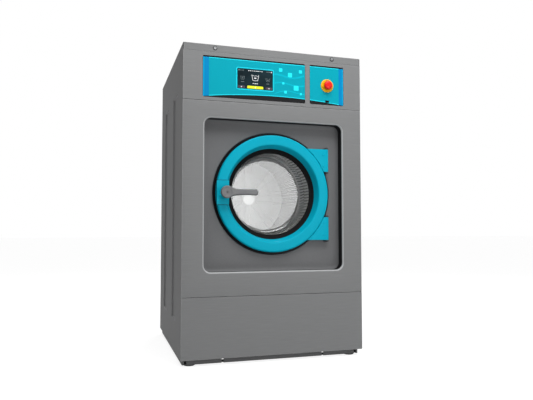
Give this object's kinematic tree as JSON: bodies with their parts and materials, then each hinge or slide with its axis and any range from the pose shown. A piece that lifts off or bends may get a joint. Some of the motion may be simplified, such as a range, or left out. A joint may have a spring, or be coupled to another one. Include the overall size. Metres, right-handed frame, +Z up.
{
  "type": "industrial washing machine",
  "caption": "Front-loading soft-mounted washer-extractor in grey steel with a turquoise door ring, lever handle, touchscreen and emergency stop.",
  "frame": {"origin": "on the floor, below the middle of the whole machine's bounding box", "axes": "+Z up; the door faces -Y; +X to the right seen from the front"},
  "size_m": [0.788, 0.8594, 1.308],
  "materials": {
    "grey_paint": "satin",
    "dark_paint": "satin",
    "turquoise": "satin",
    "black_rubber": "matte",
    "black_plastic": "matte",
    "stainless": "brushed",
    "bright_steel": "polished",
    "galvanised": "matte",
    "cast_grey": "matte",
    "cast_aluminium": "matte",
    "handle_grey": "satin",
    "glass": "clear",
    "screen": "gloss",
    "overlay": "gloss",
    "warning_yellow": "gloss",
    "signal_red": "gloss",
    "spring_steel": "satin",
    "brass": "satin"
  },
  "bodies": {
    "root": {"base_frame": "dark_paint", "body_frame": "galvanised", "cable_gland": "black_plastic", "control_backing": "black_plastic", "control_board_box": "galvanised", "control_overlay": "overlay", "door_lock": "black_plastic", "door_seal": "black_rubber", "door_surround": "grey_paint", "drain_hose": "black_rubber", "estop_collar": "warning_yellow", "estop_plate": "overlay", "front_left_foot": "galvanised", "front_left_spring": "spring_steel", "front_right_foot": "galvanised", "front_right_spring": "spring_steel", "hinge_bracket_lower": "dark_paint", "hinge_bracket_upper": "dark_paint", "inlet_valve_block": "brass", "left_side_panel": "grey_paint", "lower_front_panel": "grey_paint", "middle_front_panel": "grey_paint", "opening_trim": "black_plastic", "port_collar": "black_plastic", "rear_left_foot": "galvanised", "rear_left_spring": "spring_steel", "rear_panel": "galvanised", "rear_right_foot": "galvanised", "rear_right_spring": "spring_steel", "right_side_panel": "grey_paint", "service_socket_cover": "black_rubber", "top_panel": "grey_paint", "touchscreen": "screen", "upper_front_panel": "grey_paint"},
    "door": {"door_ring": "turquoise", "door_frame": "cast_aluminium", "door_glass": "glass", "door_gasket": "black_rubber", "handle_plate": "turquoise", "latch_tongue": "bright_steel", "hinge_block_upper": "turquoise", "hinge_block_lower": "turquoise"},
    "handle": {"handle_lever": "handle_grey"},
    "estop_button": {"estop_stem": "black_plastic"},
    "estop_knob": {"estop_head": "signal_red"},
    "bolt": {"lock_bolt": "bright_steel"},
    "tub": {"tub_shell": "stainless", "tub_front": "stainless", "tub_back": "stainless", "bearing_housing": "cast_grey", "motor": "cast_grey", "heating_element": "stainless", "drive_belt": "black_rubber", "drain_valve": "black_plastic"},
    "drum": {"drum_shell": "stainless", "drum_front": "stainless", "drum_back": "stainless", "drum_trunnion": "cast_aluminium", "drum_pulley": "cast_grey"},
    "rotor": {"motor_pulley": "bright_steel"}
  },
  "joints": [
    {"name": "door_swing", "type": "hinge", "parent": "root", "child": "door", "pos_m": [0.246, -0.37155, 0.7], "axis": [0, 0, 1], "range_deg": [0, 130]},
    {"name": "handle_turn", "type": "hinge", "parent": "door", "child": "handle", "pos_m": [-0.211, -0.38005, 0.7], "axis": [0, 1, 0], "range_deg": [0, 90]},
    {"name": "estop_push", "type": "slide", "parent": "root", "child": "estop_button", "axis": [0, 1, 0], "range_m": [0, 0.004], "stiffness_N_per_m": 400},
    {"name": "estop_twist", "type": "hinge", "parent": "estop_button", "child": "estop_knob", "pos_m": [0.2353, -0.40705, 1.174], "axis": [0, 1, 0], "range_deg": [0, 45], "stiffness_Nm_per_rad": 0.02},
    {"name": "lock_bolt_slide", "type": "slide", "parent": "root", "child": "bolt", "axis": [1, 0, 0], "range_m": [0, 0.012], "stiffness_N_per_m": 150},
    {"name": "tub_bounce", "type": "slide", "parent": "root", "child": "tub", "axis": [0, 0, 1], "range_m": [-0.015, 0.015], "stiffness_N_per_m": 40000, "springref_m": 0.02963, "deforming": ["front_left_spring", "front_right_spring", "rear_left_spring", "rear_right_spring", "door_seal", "drain_hose"]},
    {"name": "drum_spin", "type": "hinge", "parent": "tub", "child": "drum", "pos_m": [0, -0.10705, 0.7], "axis": [0, 1, 0], "continuous": true},
    {"name": "motor_spin", "type": "hinge", "parent": "tub", "child": "rotor", "pos_m": [0, 0.28895, 0.238], "axis": [0, 1, 0], "continuous": true}
  ],
  "couplings": [
    {"joint": "motor_spin", "follows": "drum_spin", "ratio": 5.5882}
  ]
}
